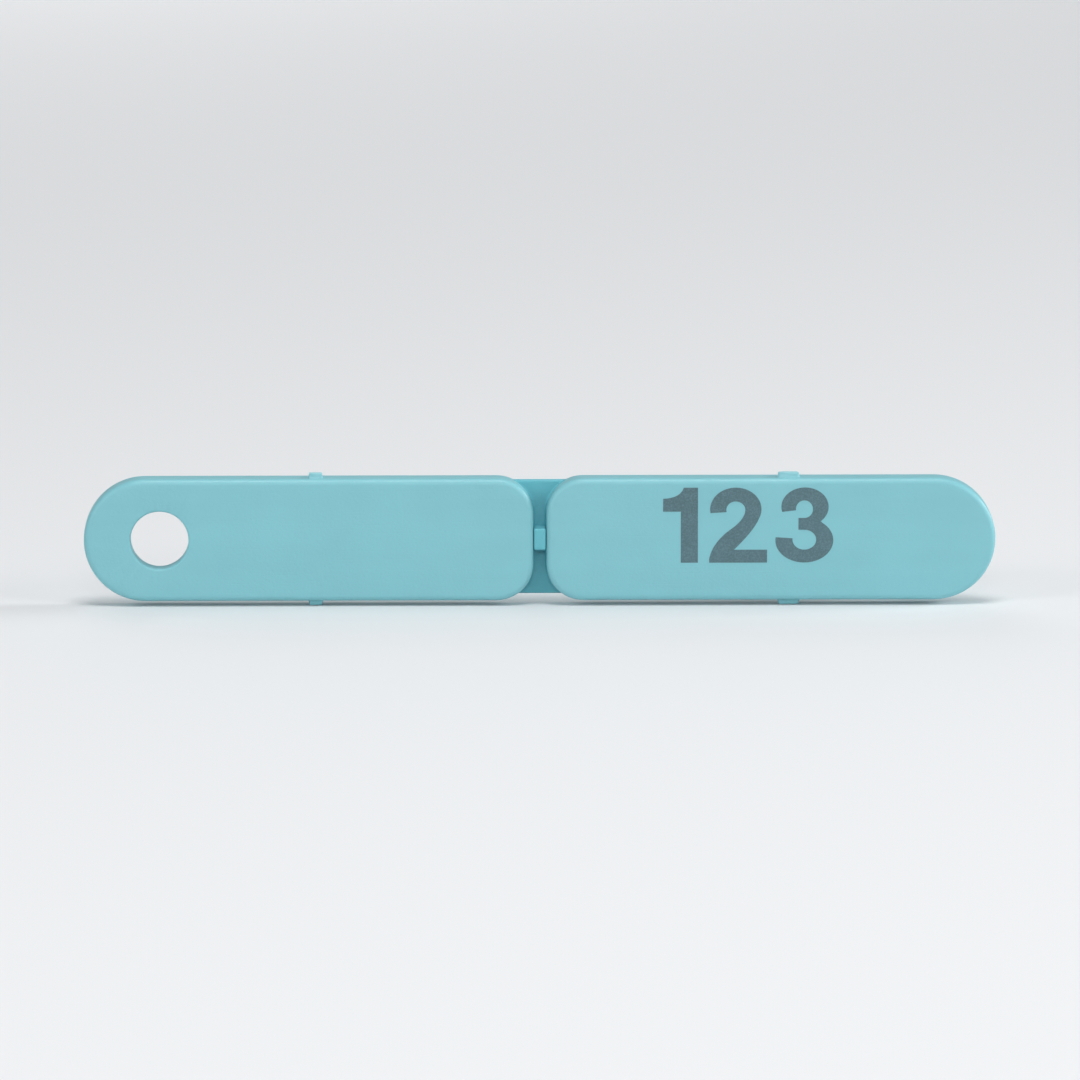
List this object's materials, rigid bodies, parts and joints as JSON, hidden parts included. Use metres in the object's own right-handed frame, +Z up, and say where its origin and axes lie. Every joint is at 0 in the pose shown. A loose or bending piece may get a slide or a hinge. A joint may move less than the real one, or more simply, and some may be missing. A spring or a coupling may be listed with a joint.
{
  "type": "livestock ear tag",
  "caption": "Fold-over livestock ear tag, moulded flat: a numbered panel with a barbed pin folds on a living hinge onto a panel whose hole takes the pin through the ear.",
  "frame": {"origin": "centre of the pin hole, halfway through the female panel's thickness", "axes": "+X along the tag from the hole towards the pin, +Y from the numbered front to the ear side, where the pin points, +Z up as the number is read"},
  "size_m": [0.0771, 0.0146, 0.0114],
  "materials": {
    "tag_plastic": "satin"
  },
  "bodies": {
    "female_half": {"female_panel": "tag_plastic", "hinge_web": "tag_plastic"},
    "male_half": {"male_panel": "tag_plastic"}
  },
  "joints": [
    {"name": "fold", "type": "hinge", "parent": "female_half", "child": "male_half", "pos_m": [0.03215, 0.0013, 0], "axis": [0, 0, 1], "range_deg": [0, 161], "stiffness_Nm_per_rad": 0.007, "deforming": ["hinge_web"]}
  ]
}
